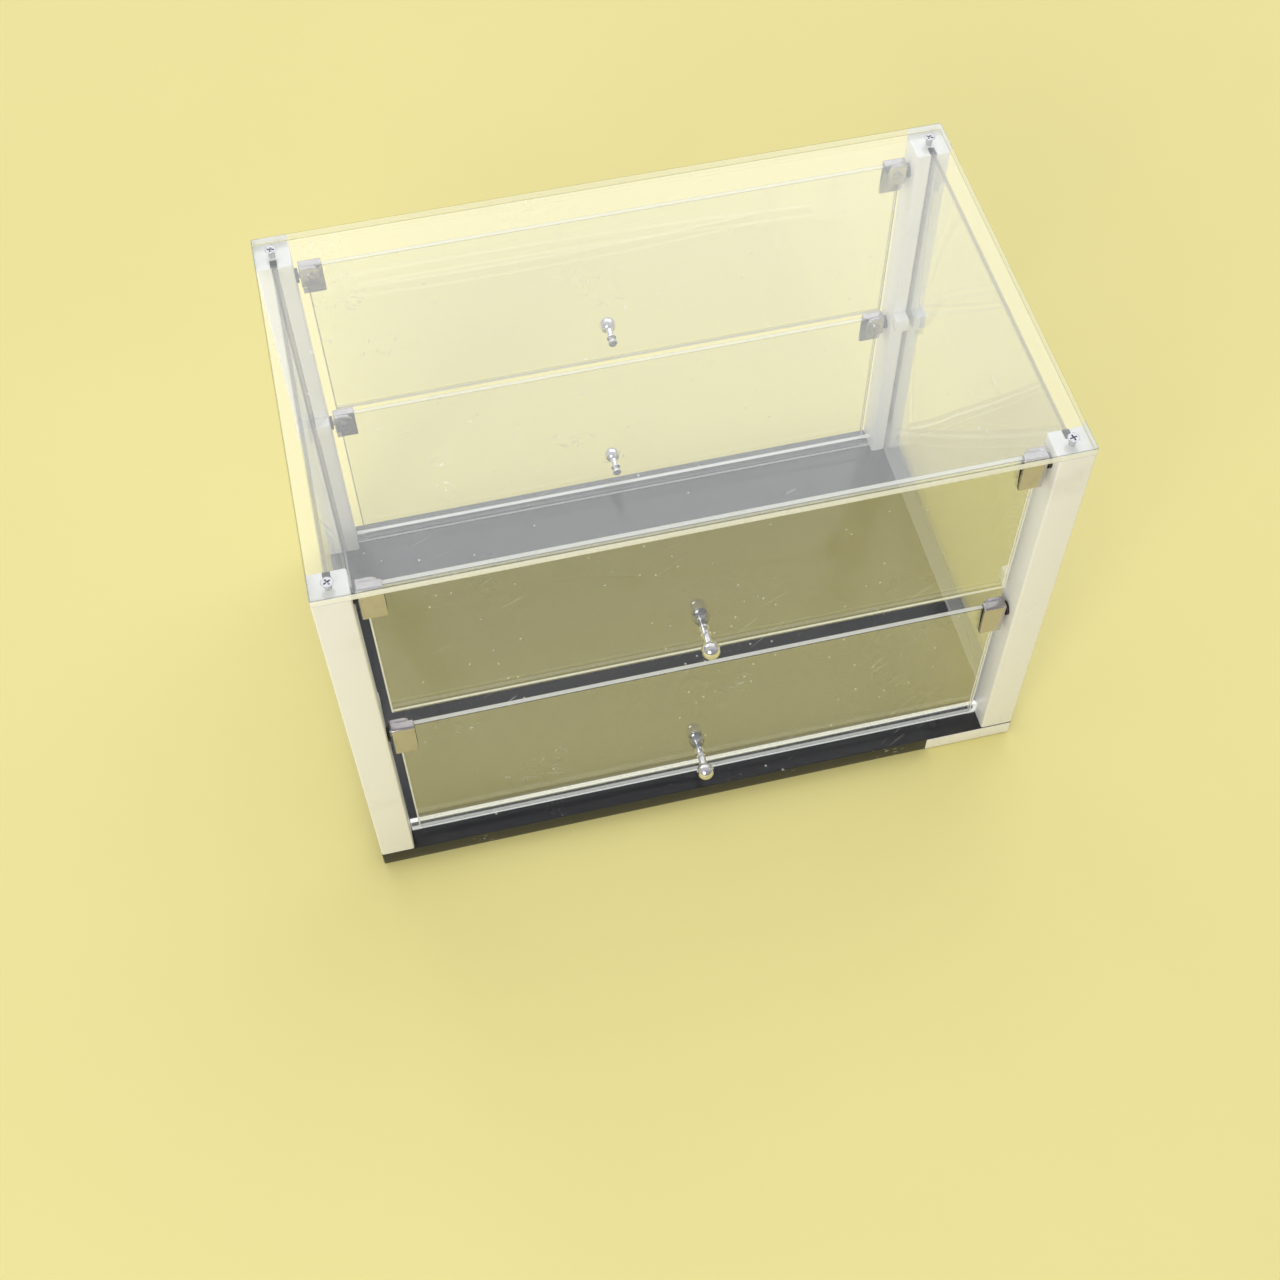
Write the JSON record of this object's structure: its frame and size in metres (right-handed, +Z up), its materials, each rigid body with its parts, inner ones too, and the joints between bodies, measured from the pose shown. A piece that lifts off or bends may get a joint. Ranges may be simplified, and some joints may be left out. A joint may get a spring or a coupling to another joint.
{
  "type": "acrylic display box",
  "caption": "Clear two-tier countertop display box: black base board, white square posts, clear top and sides, and top-hung clear flap doors at front and back.",
  "frame": {"origin": "on the ground under the middle of the case, at the base board's underside", "axes": "+X to the right along the front, -Y out of the front doors, +Z up"},
  "size_m": [0.4, 0.2662, 0.281],
  "materials": {
    "clear_acrylic": "clear polished sheet",
    "black_acrylic": "glossy, finely scratched",
    "white_plastic": "satin white",
    "bright_chrome": "polished",
    "plated_steel": "zinc plated",
    "dark_rubber": "matte",
    "blank_label": "blank, slightly grained"
  },
  "bodies": {
    "case": {"base_board": "black_acrylic", "top_plate": "clear_acrylic", "post_front_left": "white_plastic", "post_front_right": "white_plastic", "post_back_left": "white_plastic", "post_back_right": "white_plastic", "side_panel_left": "clear_acrylic", "side_panel_right": "clear_acrylic", "shelf_rest_front_left": "white_plastic", "shelf_rest_front_right": "white_plastic", "shelf_rest_back_left": "white_plastic", "shelf_rest_back_right": "white_plastic", "stop_strip_front": "clear_acrylic", "stop_strip_back": "clear_acrylic", "top_screws": "plated_steel", "base_screws": "plated_steel", "label_plate": "blank_label", "hinge_pins_front_upper": "plated_steel", "hinge_pins_front_lower": "plated_steel", "hinge_pins_back_upper": "plated_steel", "hinge_pins_back_lower": "plated_steel", "hinge_washers_front_upper": "dark_rubber", "hinge_washers_front_lower": "dark_rubber", "hinge_washers_back_upper": "dark_rubber", "hinge_washers_back_lower": "dark_rubber"},
    "front_upper_door": {"door_front_upper": "clear_acrylic", "hinge_clip_front_upper_left": "bright_chrome", "hinge_clip_front_upper_right": "bright_chrome", "clamp_screws_front_upper": "plated_steel", "knob_front_upper": "bright_chrome", "knob_screw_front_upper": "plated_steel"},
    "front_lower_door": {"door_front_lower": "clear_acrylic", "hinge_clip_front_lower_left": "bright_chrome", "hinge_clip_front_lower_right": "bright_chrome", "clamp_screws_front_lower": "plated_steel", "knob_front_lower": "bright_chrome", "knob_screw_front_lower": "plated_steel"},
    "back_upper_door": {"door_back_upper": "clear_acrylic", "hinge_clip_back_upper_left": "bright_chrome", "hinge_clip_back_upper_right": "bright_chrome", "clamp_screws_back_upper": "plated_steel", "knob_back_upper": "bright_chrome", "knob_screw_back_upper": "plated_steel"},
    "back_lower_door": {"door_back_lower": "clear_acrylic", "hinge_clip_back_lower_left": "bright_chrome", "hinge_clip_back_lower_right": "bright_chrome", "clamp_screws_back_lower": "plated_steel", "knob_back_lower": "bright_chrome", "knob_screw_back_lower": "plated_steel"}
  },
  "joints": [
    {"name": "front_upper_door_hinge", "type": "hinge", "parent": "case", "child": "front_upper_door", "pos_m": [0, -0.115, 0.266], "axis": [-1, 0, 0], "range_deg": [0, 105]},
    {"name": "front_lower_door_hinge", "type": "hinge", "parent": "case", "child": "front_lower_door", "pos_m": [0, -0.115, 0.132], "axis": [-1, 0, 0], "range_deg": [0, 105]},
    {"name": "back_upper_door_hinge", "type": "hinge", "parent": "case", "child": "back_upper_door", "pos_m": [0, 0.115, 0.2583], "axis": [1, 0, 0], "range_deg": [0, 105]},
    {"name": "back_lower_door_hinge", "type": "hinge", "parent": "case", "child": "back_lower_door", "pos_m": [0, 0.115, 0.1313], "axis": [1, 0, 0], "range_deg": [0, 105]}
  ]
}
